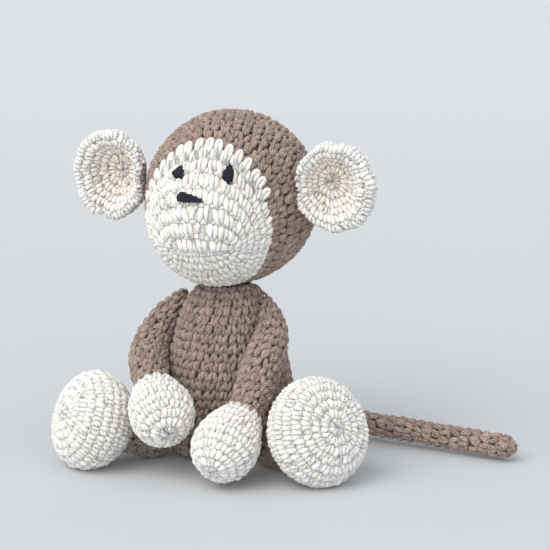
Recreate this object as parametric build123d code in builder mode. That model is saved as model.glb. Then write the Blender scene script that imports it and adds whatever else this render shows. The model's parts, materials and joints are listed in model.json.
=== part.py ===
"""Crocheted toy monkey, sitting: fabric shells, their filling, sewn seams and embroidery.

Millimetres, +Z up, the monkey looks along -Y and its own left is +X.
The origin is the middle of the flat seat that it sits on.
"""
from build123d import *
from math import cos, radians, sin, tan
import os

os.makedirs("parts", exist_ok=True)

# ---------------------------------------------------------------- driving dimensions
FABRIC = 2.6            # thickness of the crocheted fabric
FILL_GAP = 0.7          # play between the fabric and the filling inside it
YARN = 1.4              # thickness of the sewing yarn in a seam

# torso: radius at each height, from the flat seat to the closed top
TORSO_PROFILE = [(0, 22), (4, 29.5), (11, 33.3), (22, 35), (34, 34.4), (46, 31),
                 (58, 26.5), (69, 21.5), (77, 18), (83, 14.5)]

# head
SKULL_CENTRE = Vector(1.5, 0, 134.5)
SKULL_RADIUS = 45.7
MUZZLE_ACROSS = -2      # the muzzle sits a little towards the monkey's right
MUZZLE_FORWARD = 18.5
MUZZLE_DROP = 6.5
MUZZLE_RADIUS = 36.5
HEAD_TURN = -6          # the face looks a little to the monkey's right
HEAD_NOD = 6            # and a little down
FACE_TILT = 9           # the face panel's middle lies this far below straight ahead
FACE_HALF_WIDTH = 50    # half angle of the face panel, seen from the skull's centre
FACE_HALF_HEIGHT = 57
FACE_CONE_REACH = 80    # the cone that cuts the face panel out goes this far past the skin

# embroidery, on the face: sideways, forward and up from the skull's centre
EYE_ACROSS = 14.2
EYE_FORWARD = 37.8
EYE_UP = 21.5
EYE_WIDTH = 5
EYE_HEIGHT = 9.5
NOSE_ACROSS = -3.5
NOSE_FORWARD = 50
NOSE_UP = 11
NOSE_WIDTH = 14
NOSE_HEIGHT = 4.5
EMBROIDERY_DEPTH = 2.4

# ears: shallow cups, open to the front
EAR_ACROSS = 62.6
EAR_FORWARD = 13
EAR_UP = 12
EAR_HALF_WIDTH = 19
EAR_HALF_HEIGHT = 22.5
EAR_CUP_DEPTH = 9
EAR_THICKNESS = 4.2
EAR_SEAM_LENGTH = 15
EAR_BACK_BULGE = (0.74, 0.52)   # the bowl's arcs pass here: shares of half height and depth
EAR_FRONT_BULGE = (0.6, 0.3)

# neck seam
NECK_SEAM_Z = 85.2
NECK_SEAM_RADIUS = 10

# arms, right then left: (x, y, z, radius) from the shoulder to the wrist, then the hand
SHOULDER_RIGHT = Vector(-28.5, 1, 78.5)
SHOULDER_LEFT = Vector(26.5, -9.5, 78.5)
SHOULDER_RADIUS = 6.5
SHOULDER_SEAM_SHARE = 0.715             # how far out to the shoulder its seam lies
SHOULDER_SEAM_RADIUS = 2.2
SHOULDER_SEAM_RISE = 0.4                # slope of the seam's axis
SHOULDER_END_ANGLES = (-70, -40, 0)     # where rounds are taken on the rounded ends
HAND_END_ANGLES = (-35, -8, 20, 45, 70)
ARM_RIGHT = [(-36.5, -5, 66.5, 10), (-40, -15, 51, 10.3), (-30.5, -38.5, 43.5, 9.6)]
ARM_LEFT = [(29, -19.5, 66.5, 10.8), (26.5, -34, 50, 11), (24.5, -47, 36.5, 9.8)]
HAND_RIGHT = Vector(-19, -58.5, 33.5)
HAND_LEFT = Vector(18, -66, 23)
HAND_ACROSS = 16.5
HAND_HALF_LENGTH = 20
WRIST_FROM_HAND = 13.5  # from the hand's middle back to the colour change

# legs: they lie on the ground and point forwards and outwards from the torso
FOOT_RIGHT = (-60.5, -56.5)
FOOT_LEFT = (62.5, -58)
FOOT_RADIUS_RIGHT = 26.5
FOOT_RADIUS_LEFT = 28.5
HIP_FROM_AXIS = 47
HIP_Z = 12
HIP_RADIUS = 9
LEG_TAPER = 8           # the leg reaches its full thickness this far out
LEG_RADIUS = 11.8
SOLE_DEPTH = 13         # from the foot's widest round to the middle of the sole
HEEL_DEPTH = 20         # from the foot's widest round back to the ankle
FOOT_TIP_UP = 21.5      # the sole looks this many degrees up
FOOT_ABOVE_GROUND = 0.6
HEEL_BULGE = (0.5, 0.8) # half way to the ankle, the heel has this share of the foot's radius
SOLE_ANGLES = (0, 25, 50, 70, 90)
HIP_SEAM_RADIUS = 4
HIP_SEAM_FROM_AXIS = 36.2

# tail
TAIL_ROOT = Vector(0, 46, 10.5)
TAIL_TIP = Vector(147, 6, 7.9)
TAIL_RADIUS = 7.7
TAIL_SEAM_RADIUS = 2.5
TAIL_SEAM_Y = 35.8


# ---------------------------------------------------------------- shapes used more than once
def head_direction(sideways, forward, up):
    """A direction given in the head's own axes, turned and nodded into the model's."""
    direction = Vector(sideways, -forward, up)
    return direction.rotate(Axis.X, HEAD_NOD).rotate(Axis.Z, HEAD_TURN)


def head_point(sideways, forward, up):
    """A point given from the skull's centre in the head's own axes."""
    return SKULL_CENTRE + head_direction(sideways, forward, up)


def ring(centre, axis, radius, thickness):
    """A round of sewing yarn."""
    with BuildPart() as body:
        with Locations(Plane(origin=centre, z_dir=axis)):
            Torus(radius, thickness / 2)
    return body.part


def tube(stations):
    """A round tube, straight from each (point, radius) station to the next."""
    points = [Vector(point) for point, radius in stations]
    with BuildPart() as body:
        for index, (point, radius) in enumerate(stations):
            ahead = points[min(index + 1, len(points) - 1)]
            behind = points[max(index - 1, 0)]
            along = (ahead - behind).normalized()
            upwards = Vector(1, 0, 0).cross(along).normalized()
            with BuildSketch(Plane(origin=point, x_dir=upwards, z_dir=along)):
                Circle(radius)
        loft(ruled=True)
    return body.part


def rounded(centre, along, across, half_length, angles):
    """Tube stations on an ellipsoid that is round about the tube's line."""
    return [(centre + along * half_length * sin(radians(angle)), across * cos(radians(angle)))
            for angle in angles]


def hollow(outer, inner):
    """The fabric between an outer form and an inner one."""
    with BuildPart() as body:
        add(outer)
        add(inner, mode=Mode.SUBTRACT)
    return body.part


def cut_at(shell, plane, keep):
    """The part of a shell on one side of a plane."""
    with BuildPart() as body:
        add(shell)
        split(bisect_by=plane, keep=keep)
    return body.part


def save(name, part):
    """Label a finished piece and write it to its own file."""
    part.label = name
    export_step(part, f"parts/{name}.step")


# ---------------------------------------------------------------- torso
def torso_form(inset):
    """The torso, turned from its profile, drawn in all round by the inset."""
    rim = [(radius - inset, min(max(height, inset), TORSO_PROFILE[-1][0] - inset))
           for height, radius in TORSO_PROFILE]
    with BuildPart() as body:
        with BuildSketch(Plane.XZ):
            with BuildLine():
                side = Spline(*rim)
                Polyline(side @ 1, (0, rim[-1][1]), (0, rim[0][1]), side @ 0)
            make_face()
        revolve(axis=Axis.Z)
    return body.part


save("torso_shell", hollow(torso_form(0), torso_form(FABRIC)))
save("torso_stuffing", torso_form(FABRIC + FILL_GAP))
save("neck_seam", ring((0, 0, NECK_SEAM_Z), (0, 0, 1), NECK_SEAM_RADIUS, 2 * YARN))


# ---------------------------------------------------------------- head
def head_form(inset):
    """The round skull with the muzzle bulging from it."""
    with BuildPart() as body:
        with Locations(SKULL_CENTRE):
            Sphere(SKULL_RADIUS - inset)
        with Locations(head_point(MUZZLE_ACROSS, MUZZLE_FORWARD, -MUZZLE_DROP)):
            Sphere(MUZZLE_RADIUS - inset)
    return body.part


def face_cone():
    """A cone from the skull's centre that takes in the whole face panel."""
    tilt = radians(FACE_TILT)
    ahead = head_direction(0, cos(tilt), -sin(tilt))
    sideways = head_direction(1, 0, 0)
    with BuildPart() as body:
        for distance in (1, FACE_CONE_REACH):
            with BuildSketch(Plane(SKULL_CENTRE + ahead * distance, sideways, ahead)):
                Ellipse(distance * tan(radians(FACE_HALF_WIDTH)),
                        distance * tan(radians(FACE_HALF_HEIGHT)))
        loft()
    return body.part


head_fabric = hollow(head_form(0), head_form(FABRIC))
cone = face_cone()

with BuildPart() as face_panel:
    add(head_fabric)
    add(cone, mode=Mode.INTERSECT)
save("face_panel", face_panel.part)
save("head_shell", hollow(head_fabric, cone))
save("head_stuffing", head_form(FABRIC + FILL_GAP))


def embroidery(sideways, forward, up, width, height):
    """A block of satin stitches that lies in the face's fabric."""
    centre = head_point(sideways, forward, up)
    with BuildPart() as body:
        outwards = (centre - SKULL_CENTRE).normalized()
        level = Vector(0, 0, 1).cross(outwards).normalized()
        with BuildSketch(Plane(centre - outwards * EMBROIDERY_DEPTH / 2, level, outwards)):
            Ellipse(width / 2, height / 2)
        extrude(amount=EMBROIDERY_DEPTH)
    return body.part


save("eye_left", embroidery(EYE_ACROSS, EYE_FORWARD, EYE_UP, EYE_WIDTH, EYE_HEIGHT))
save("eye_right", embroidery(-EYE_ACROSS, EYE_FORWARD, EYE_UP, EYE_WIDTH, EYE_HEIGHT))
save("nose_stitch", embroidery(NOSE_ACROSS, NOSE_FORWARD, NOSE_UP, NOSE_WIDTH, NOSE_HEIGHT))

# ---------------------------------------------------------------- ears
def ear_station(shares):
    """A point of the ear's profile, given as shares of its half height and its depth."""
    return EAR_HALF_HEIGHT * shares[0], -EAR_CUP_DEPTH * shares[1]


with BuildPart() as ear_cup:
    with BuildSketch(Plane.XZ):
        with BuildLine():
            bowl = ThreePointArc((0, -EAR_CUP_DEPTH), ear_station(EAR_BACK_BULGE), (EAR_HALF_HEIGHT, 0))
            lip = ThreePointArc(bowl @ 1, (EAR_HALF_HEIGHT - EAR_THICKNESS / 2, EAR_THICKNESS / 2),
                                (EAR_HALF_HEIGHT - EAR_THICKNESS, 0))
            inside = ThreePointArc(lip @ 1, ear_station(EAR_FRONT_BULGE), (0, EAR_THICKNESS - EAR_CUP_DEPTH))
            Line(inside @ 1, bowl @ 0)
        make_face()
    revolve(axis=Axis.Z)
    scale(by=(EAR_HALF_WIDTH / EAR_HALF_HEIGHT, 1, 1))

for side_name, side in (("left", 1), ("right", -1)):
    ear_place = Plane(head_point(side * EAR_ACROSS, EAR_FORWARD, EAR_UP),
                      head_direction(1, 0, 0), head_direction(0, 1, 0))
    save(f"ear_{side_name}", ear_place.location * ear_cup.part)
    root_across = (SKULL_RADIUS**2 - EAR_FORWARD**2 - EAR_UP**2)**0.5
    with BuildPart() as ear_seam:
        with BuildSketch(Plane(head_point(side * root_across, EAR_FORWARD, EAR_UP - EAR_SEAM_LENGTH / 2),
                               head_direction(1, 0, 0), head_direction(0, 0, 1))):
            Circle(YARN / 2)
        extrude(amount=EAR_SEAM_LENGTH)
    save(f"ear_seam_{side_name}", ear_seam.part)


# ---------------------------------------------------------------- arms
def arm_form(shoulder, sleeve, hand, inset):
    """The sleeve from the round shoulder to the wrist, with the hand on its end."""
    elbow = Vector(sleeve[0][:3])
    wrist = Vector(sleeve[-1][:3])
    stations = rounded(shoulder, (elbow - shoulder).normalized(), SHOULDER_RADIUS - inset,
                       SHOULDER_RADIUS - inset, SHOULDER_END_ANGLES)
    stations += [(Vector(x, y, z), radius - inset) for x, y, z, radius in sleeve]
    stations += rounded(hand, (hand - wrist).normalized(), HAND_ACROSS - inset,
                        HAND_HALF_LENGTH - inset, HAND_END_ANGLES)
    return tube(stations)


for side_name, shoulder, stations, hand in (("left", SHOULDER_LEFT, ARM_LEFT, HAND_LEFT),
                                            ("right", SHOULDER_RIGHT, ARM_RIGHT, HAND_RIGHT)):
    arm_fabric = hollow(arm_form(shoulder, stations, hand, 0),
                        arm_form(shoulder, stations, hand, FABRIC))
    towards_hand = (hand - Vector(stations[-1][:3])).normalized()
    wrist_plane = Plane(origin=hand - towards_hand * WRIST_FROM_HAND, z_dir=towards_hand)
    save(f"arm_{side_name}", cut_at(arm_fabric, wrist_plane, Keep.BOTTOM))
    save(f"hand_{side_name}", cut_at(arm_fabric, wrist_plane, Keep.TOP))
    save(f"arm_stuffing_{side_name}", arm_form(shoulder, stations, hand, FABRIC + FILL_GAP))
    outwards = Vector(shoulder.X, shoulder.Y, 0)
    seam_axis = outwards.normalized() + Vector(0, 0, SHOULDER_SEAM_RISE)
    seam_centre = outwards * SHOULDER_SEAM_SHARE + Vector(0, 0, shoulder.Z)
    save(f"shoulder_seam_{side_name}", ring(seam_centre, seam_axis, SHOULDER_SEAM_RADIUS, YARN))


# ---------------------------------------------------------------- legs
def leg_form(hip, ahead, foot_radius, foot_centre, inset):
    """The leg with the foot on its end, turned about the leg's own line."""
    reach = (foot_centre - hip).length
    side = Vector(0, 0, 1).cross(ahead).normalized()
    ball = HIP_RADIUS - inset
    sole = [(reach + (SOLE_DEPTH - inset) * sin(radians(angle)),
             (foot_radius - inset) * cos(radians(angle))) for angle in SOLE_ANGLES]
    heel_middle = (reach - HEEL_DEPTH * HEEL_BULGE[0], foot_radius * HEEL_BULGE[1] - inset)
    with BuildPart() as body:
        with BuildSketch(Plane(origin=hip, x_dir=ahead, z_dir=side)):
            with BuildLine():
                end = RadiusArc((-ball, 0), (0, ball), ball)
                leg = Line(end @ 1, (LEG_TAPER, LEG_RADIUS - inset))
                shin = Line(leg @ 1, (reach - HEEL_DEPTH, LEG_RADIUS - inset))
                heel = Spline(shin @ 1, heel_middle, sole[0])
                tip = Spline(*sole)
                Line(tip @ 1, end @ 0)
            make_face()
        revolve(axis=Axis(hip, ahead))
    return body.part


for side_name, foot_xy, foot_radius in (("left", FOOT_LEFT, FOOT_RADIUS_LEFT),
                                        ("right", FOOT_RIGHT, FOOT_RADIUS_RIGHT)):
    outwards = Vector(foot_xy[0], foot_xy[1], 0).normalized()
    hip = outwards * HIP_FROM_AXIS + Vector(0, 0, HIP_Z)
    foot_centre = Vector(foot_xy[0], foot_xy[1], foot_radius * cos(radians(FOOT_TIP_UP)) + FOOT_ABOVE_GROUND)
    ahead = (foot_centre - hip).normalized()
    leg_fabric = hollow(leg_form(hip, ahead, foot_radius, foot_centre, 0),
                        leg_form(hip, ahead, foot_radius, foot_centre, FABRIC))
    ankle_plane = Plane(origin=foot_centre - ahead * HEEL_DEPTH, z_dir=ahead)
    save(f"leg_{side_name}", cut_at(leg_fabric, ankle_plane, Keep.BOTTOM))
    save(f"foot_{side_name}", cut_at(leg_fabric, ankle_plane, Keep.TOP))
    save(f"leg_stuffing_{side_name}",
         leg_form(hip, ahead, foot_radius, foot_centre, FABRIC + FILL_GAP))
    save(f"hip_seam_{side_name}",
         ring(outwards * HIP_SEAM_FROM_AXIS + Vector(0, 0, HIP_Z), outwards, HIP_SEAM_RADIUS, YARN))


# ---------------------------------------------------------------- tail
def tail_form(inset):
    """A straight round cord of fabric with two round ends."""
    along = (TAIL_TIP - TAIL_ROOT).normalized()
    length = (TAIL_TIP - TAIL_ROOT).length
    radius = TAIL_RADIUS - inset
    with BuildPart() as body:
        with BuildSketch(Plane(origin=TAIL_ROOT, x_dir=along, z_dir=along.cross(Vector(0, 0, 1)))):
            with BuildLine():
                root = RadiusArc((-radius, 0), (0, radius), radius)
                side = Line(root @ 1, (length, radius))
                tip = RadiusArc(side @ 1, (length + radius, 0), radius)
                Line(tip @ 1, root @ 0)
            make_face()
        revolve(axis=Axis(TAIL_ROOT, along))
    return body.part


save("tail_shell", hollow(tail_form(0), tail_form(FABRIC)))
save("tail_stuffing", tail_form(FABRIC + FILL_GAP))
save("tail_seam", ring((0, TAIL_SEAM_Y, TAIL_ROOT.Z), (0, 1, 0), TAIL_SEAM_RADIUS, YARN))
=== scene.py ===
import json
import math

import bpy
import numpy as np
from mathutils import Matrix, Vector
from mathutils.kdtree import KDTree


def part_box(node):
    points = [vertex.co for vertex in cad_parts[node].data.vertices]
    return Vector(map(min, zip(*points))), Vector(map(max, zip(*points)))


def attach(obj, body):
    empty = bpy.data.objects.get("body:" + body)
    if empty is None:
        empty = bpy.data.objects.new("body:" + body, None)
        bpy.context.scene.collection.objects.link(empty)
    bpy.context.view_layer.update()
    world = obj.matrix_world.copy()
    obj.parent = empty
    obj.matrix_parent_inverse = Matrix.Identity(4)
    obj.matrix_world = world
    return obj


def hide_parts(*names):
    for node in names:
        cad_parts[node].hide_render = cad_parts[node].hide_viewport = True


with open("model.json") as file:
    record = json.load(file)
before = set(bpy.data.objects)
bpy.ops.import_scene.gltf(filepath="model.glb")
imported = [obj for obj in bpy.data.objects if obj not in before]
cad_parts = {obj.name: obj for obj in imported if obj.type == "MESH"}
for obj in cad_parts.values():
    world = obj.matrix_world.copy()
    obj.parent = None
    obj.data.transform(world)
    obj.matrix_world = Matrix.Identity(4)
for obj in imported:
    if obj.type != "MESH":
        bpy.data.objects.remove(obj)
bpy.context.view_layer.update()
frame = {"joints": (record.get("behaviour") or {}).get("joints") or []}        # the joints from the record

MM = 0.001
random = np.random.default_rng(11)

# ---------------------------------------------------------------- gauges: stitch width, round height, yarn radius
HEAD_GAUGE = (5.7, 5.2, 1.28)
FACE_GAUGE = (5.6, 5.5, 1.42)
BODY_GAUGE = (4.8, 4.8, 1.1)
LIMB_GAUGE = (4.7, 4.6, 1.24)
TAIL_GAUGE = (5.2, 5.4, 1.15)
EAR_GAUGE = (4.8, 4.6, 1.26)
TOOTH_GAUGE = (4.7, 4.6, 0.95)
FABRIC_DEPTH = 1.3      # from the crest of the yarn down to the fabric's ground
LOOSE = 0.45            # the brown is worked looser: the loops between its stitches lie lower
CREAM_DEPTH = 0.5       # less in the off-white pieces, which are worked tighter
FABRIC_THICK = 1.6      # thickness of the ground itself
GROUND_CLEAR = 0.25     # the lowest yarn lies this far above the floor
CREST = 1.9             # the yarn's crest stands this far above the surface that it is laid on
PLIES = 7               # threads in the yarn
PLY_TURN = 17.0         # length in which the threads go once round the strand
STITCH_LEAN = 0.16      # a stitch leans by this share of its width
ROUND_SHIFT = 0.42      # each round starts this share of a stitch further round
SIDES = 8               # of a strand
COLUMNS = 144           # points once round a surface


# ---------------------------------------------------------------- small vector helpers
def unit(vectors):
    vectors = np.asarray(vectors, float)
    return vectors / np.maximum(np.linalg.norm(vectors, axis=-1, keepdims=True), 1e-9)


def joint(name):
    return next(j for j in frame["joints"] if j["name"] == name)


def joint_point(name):
    """Where a joint turns, in millimetres."""
    return np.array(joint(name)["pos_m"]) / MM


def node_box(node):
    """Lowest and highest corners of a CAD node, in millimetres."""
    low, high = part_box(node)
    return np.array(low) / MM, np.array(high) / MM


def node_centre(node):
    low, high = node_box(node)
    return (low + high) / 2


def smooth_line(points, count=240):
    """A Catmull-Rom curve through the points: count rows of the same columns."""
    points = np.asarray(points, float)
    ends = np.vstack([2 * points[0] - points[1], points, 2 * points[-1] - points[-2]])
    where = np.linspace(0, len(points) - 1, count)
    span = np.minimum(where.astype(int), len(points) - 2)
    u = (where - span)[:, None]
    a, b, c, d = (ends[span + k] for k in range(4))
    return 0.5 * (2 * b + (c - a) * u + (2 * a - 5 * b + 4 * c - d) * u**2 + (3 * b - a - 3 * c + d) * u**3)


def ring_faces(rows, columns, closed=False):
    """Quads between rings of points, each a row of the same columns; closed joins the last ring to the first."""
    column = np.arange(columns)
    beside = np.roll(column, -1)
    starts = [(r * columns, (r + 1) % rows * columns) for r in range(rows if closed else rows - 1)]
    return np.concatenate([np.stack([column + a, beside + a, beside + b, column + b], 1) for a, b in starts])


def end_fans(rows, columns):
    """Triangles, as quads with a corner twice, from the first and last ring to the two points after the rings."""
    column = np.arange(columns)
    beside = np.roll(column, -1)
    last = (rows - 1) * columns
    first_tip, last_tip = np.full(columns, rows * columns), np.full(columns, rows * columns + 1)
    return np.concatenate([np.stack([beside, column, first_tip, first_tip], 1),
                           np.stack([column + last, beside + last, last_tip, last_tip], 1)])


def drawn_length(points):
    """The length of a line of points up to each of them."""
    return np.concatenate([[0], np.cumsum(np.linalg.norm(np.diff(points, axis=0), axis=1))])


# ---------------------------------------------------------------- surfaces worked in rounds
class Surface:
    """A grid of points: rows from the first round's middle to the last, columns once round."""

    def __init__(self, grid):
        self.grid = np.asarray(grid, float)
        down = np.gradient(self.grid, axis=0)
        along = (np.roll(self.grid, -1, 1) - np.roll(self.grid, 1, 1)) / 2
        self.normals = np.cross(along, down)
        if np.sum((self.grid - self.grid.mean((0, 1))) * self.normals) < 0:
            self.normals = -self.normals
        self.normals = unit(self.normals)
        for row, inner in ((0, 1), (-1, -2)):
            self.normals[row] = unit(self.normals[inner].mean(0)) if self.pole(row) else self.normals[row]
        steps = np.linalg.norm(np.diff(self.grid, axis=0), axis=2).mean(1)
        self.reach = np.concatenate([[0], np.cumsum(steps)])

    def pole(self, row):
        return np.ptp(self.grid[row], axis=0).max() < 0.5

    def sample(self, field, s, t):
        rows, columns = field.shape[:2]
        row = np.clip(s, 0, 1) * (rows - 1)
        column = np.mod(t, 1) * columns
        i = np.minimum(row.astype(int), rows - 2)
        j = np.minimum(column.astype(int), columns - 1)
        u, v = (row - i)[..., None], (column - j)[..., None]
        k = (j + 1) % columns
        return ((1 - u) * ((1 - v) * field[i, j] + v * field[i, k])
                + u * ((1 - v) * field[i + 1, j] + v * field[i + 1, k]))

    def at(self, s, t, height=0.0):
        """Points at place s along, t round, and a height above the surface."""
        normal = unit(self.sample(self.normals, s, t))
        return self.sample(self.grid, s, t) + normal * np.asarray(height, float)[..., None]

    def edges(self, start, end, height):
        """The places along where rounds of about this height meet."""
        here = np.linspace(0, 1, len(self.reach))
        low, high = np.interp([start, end], here, self.reach)
        rounds = max(1, round((high - low) / height))
        return np.interp(np.linspace(low, high, rounds + 1), self.reach, here)

    def around(self, s, width):
        """Middle and step, as shares of a turn, of each stitch in the round at s, and their width."""
        turn = np.linspace(0, 1, 361)
        ring = self.at(np.full(len(turn), s), turn)
        length = drawn_length(ring)
        count = max(6, round(length[-1] / width))
        marks = np.interp(np.linspace(0, length[-1], count + 1), length, turn)
        return (marks[1:] + marks[:-1]) / 2, np.diff(marks), length[-1] / count


def turned(centres, radii, first, second):
    """Rings of these radii about the centres, in the plane of the two directions at each."""
    angle = np.linspace(0, 2 * math.pi, COLUMNS, endpoint=False)
    circle = np.cos(angle)[None, :, None] * first[:, None, :] + np.sin(angle)[None, :, None] * second[:, None, :]
    return centres[:, None, :] + radii[:, None, None] * circle


def limb_outline(profile):
    """The surface's own outline under the yarn, and the length drawn along it."""
    outline = smooth_line(profile, 600)
    middle, half = (outline[0, 0] + outline[-1, 0]) / 2, (outline[-1, 0] - outline[0, 0]) / 2
    outline[:, 0] = middle + (outline[:, 0] - middle) * (half - CREST) / half
    outline[:, 1] = np.maximum(outline[:, 1] - CREST * np.clip(outline[:, 1] / CREST, 0, 1), 0)
    return outline, drawn_length(outline)


def limb(spine, profile):
    """A limb along a spine of points, with a profile of (distance along the spine, radius)."""
    line = smooth_line(spine)
    passed = drawn_length(line)
    outline, drawn = limb_outline(profile)
    even = np.linspace(0, drawn[-1], 220)
    distance = np.interp(even, drawn, outline[:, 0])
    radius = np.interp(even, drawn, outline[:, 1])
    centres = np.stack([np.interp(distance, passed, line[:, k]) for k in range(3)], 1)
    ahead = unit(np.gradient(line, axis=0))
    ahead = unit(np.stack([np.interp(distance, passed, ahead[:, k]) for k in range(3)], 1))
    first = unit(np.cross(ahead, np.array([1.0, 0.02, 0.01])))
    return turned(centres, radius, first, np.cross(ahead, first))


# ---------------------------------------------------------------- stuffing pressure
FORM_SHRINK = 1.0       # a form starts this much smaller and swells
FORM_TRAVEL = 1.4       # no point of it moves further than this
FORM_VOXEL = 3.5        # the even mesh's spacing
FORM_FRAMES = 20
FORM_RADIUS = 46        # the head's radius
FORM_PRESSURE = 230     # for a ball of that radius; thinner forms need more
FORM_MOST_PRESSURE = 9  # times that
FORM_MASS = 0.0005      # kilograms for each point
FORM_STRETCH = 0.4      # stiffness
FORM_BEND = 0.0005
FORM_DAMPING = 0.002
FORM_AIR = 2
FORM_NEAR = 12          # points of the even mesh that a point of the surface follows
FORM_NEAR_SOFT = 2      # added to their distances, so that none of them rules alone


def closed_mesh(name, grid):
    """A closed mesh from a grid of points, with a cap on each end."""
    rows, columns = grid.shape[:2]
    column = np.arange(columns)
    caps = [column[::-1].tolist(), (column + (rows - 1) * columns).tolist()]
    data = bpy.data.meshes.new(name)
    data.from_pydata((grid.reshape(-1, 3) * MM).tolist(), [], ring_faces(rows, columns).tolist() + caps)
    return data


def mesh_points(data):
    """A mesh's points, in millimetres."""
    flat = np.empty(len(data.vertices) * 3)
    data.vertices.foreach_get("co", flat)
    return flat.reshape(-1, 3) / MM


def stuffed(grid):
    """The grid swollen by the filling: cloth under pressure, simulated on an even mesh of the same form."""
    scene = bpy.context.scene
    normals = Surface(grid).normals
    shrunk = grid - normals * FORM_SHRINK
    rough = bpy.data.objects.new("rough_form", closed_mesh("rough_form", shrunk[2:-2:3, ::4]))
    scene.collection.objects.link(rough)
    remesh = rough.modifiers.new("even", "REMESH")
    remesh.mode = "VOXEL"
    remesh.voxel_size = FORM_VOXEL * MM
    even = bpy.data.meshes.new_from_object(rough.evaluated_get(bpy.context.evaluated_depsgraph_get()))
    if sum(face.area * face.center.dot(face.normal) for face in even.polygons) < 0:
        even.flip_normals()
    form = bpy.data.objects.new("form", even)
    scene.collection.objects.link(form)
    girth = np.linalg.norm(grid - grid.mean(1, keepdims=True), axis=-1).mean(1).max()
    cloth = form.modifiers.new("fabric", "CLOTH").settings
    cloth.use_pressure = True
    cloth.uniform_pressure_force = FORM_PRESSURE * min((FORM_RADIUS / girth) ** 2, FORM_MOST_PRESSURE)
    cloth.mass = FORM_MASS
    cloth.tension_stiffness = FORM_STRETCH
    cloth.compression_stiffness = FORM_STRETCH
    cloth.shear_stiffness = FORM_STRETCH / 2
    cloth.bending_stiffness = FORM_BEND
    cloth.tension_damping = cloth.compression_damping = cloth.shear_damping = FORM_DAMPING
    cloth.air_damping = FORM_AIR
    cloth.effector_weights.gravity = 0
    before = mesh_points(even)
    for frame_number in range(1, FORM_FRAMES + 1):
        scene.frame_set(frame_number)
    after = mesh_points(form.evaluated_get(bpy.context.evaluated_depsgraph_get()).data)
    scene.frame_set(1)
    moved = after - before
    moved -= moved.mean(0)
    tree = KDTree(len(before))
    for index, point in enumerate(before):
        tree.insert(point, index)
    tree.balance()
    push = np.empty(grid.shape[0] * grid.shape[1])
    for index, (point, normal) in enumerate(zip(shrunk.reshape(-1, 3), normals.reshape(-1, 3))):
        near = tree.find_n(point, FORM_NEAR)
        weight = np.array([1 / (distance + FORM_NEAR_SOFT) for _, _, distance in near])
        push[index] = weight @ (moved[[number for _, number, _ in near]] @ normal) / weight.sum()
    swollen = shrunk + normals * np.clip(push, 0, FORM_TRAVEL).reshape(*grid.shape[:2], 1)
    for piece in (rough, form):
        data = piece.data
        bpy.data.objects.remove(piece)
        bpy.data.meshes.remove(data)
    return np.clip(swollen, grid.min((0, 1)), grid.max((0, 1)))


# ---------------------------------------------------------------- yarn
def v_stitch(loop_low):
    """The two legs of a stitch and the loop beside them that the next stitch is worked into.

    Rows of (across, along, height, thickness): shares of the stitch, millimetres, shares of the yarn."""
    right = np.array([(0.09, -0.03, -1.7, 0.70), (0.11, 0.10, -0.5, 0.98), (0.155, 0.28, 0.15, 1.14),
                      (0.215, 0.48, 0.34, 1.20), (0.27, 0.68, 0.18, 1.14), (0.305, 0.86, -0.5, 0.98),
                      (0.315, 0.97, -1.7, 0.70)])
    loop = np.array([(0.20, 0.0, -1.7, 0.75), (0.33, 0.06, -0.65, 0.95), (0.50, 0.09, -0.30, 1.02),
                     (0.67, 0.06, -0.65, 0.95), (0.80, 0.0, -1.7, 0.75)])
    loop[:, 2] -= loop_low
    left = right * (-1, 1, 1, 1)
    right = right + np.outer(right[:, 1], (STITCH_LEAN, 0, 0, 0))
    left = left + np.outer(left[:, 1], (STITCH_LEAN, 0, 0, 0))
    return [left, right, loop]


def petal_stitch():
    """A long stitch whose yarn goes up, round the end and back, as one rounded loop."""
    right = [(0.08, -0.08, -1.6, 0.72), (0.10, 0.04, 0.0, 0.92), (0.13, 0.20, 0.8, 0.98), (0.17, 0.42, 1.1, 1.0),
             (0.21, 0.64, 1.4, 1.0), (0.19, 0.84, 1.5, 0.98), (0.09, 0.96, 1.4, 0.95), (0.0, 0.99, 1.35, 0.94)]
    left = [(-a, b, h, r) for a, b, h, r in reversed(right[:-1])]
    return [np.array(right + left)]


def tooth_stitch():
    """A short stitch whose two legs meet in a point."""
    right = np.array([(0.24, -0.1, -1.0, 0.9), (0.23, 0.15, 0.35, 1.05), (0.17, 0.45, 0.7, 1.1),
                      (0.09, 0.75, 0.8, 1.0), (0.03, 1.0, 0.3, 0.8)])
    return [right * (-1, 1, 1, 1), right]


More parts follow.
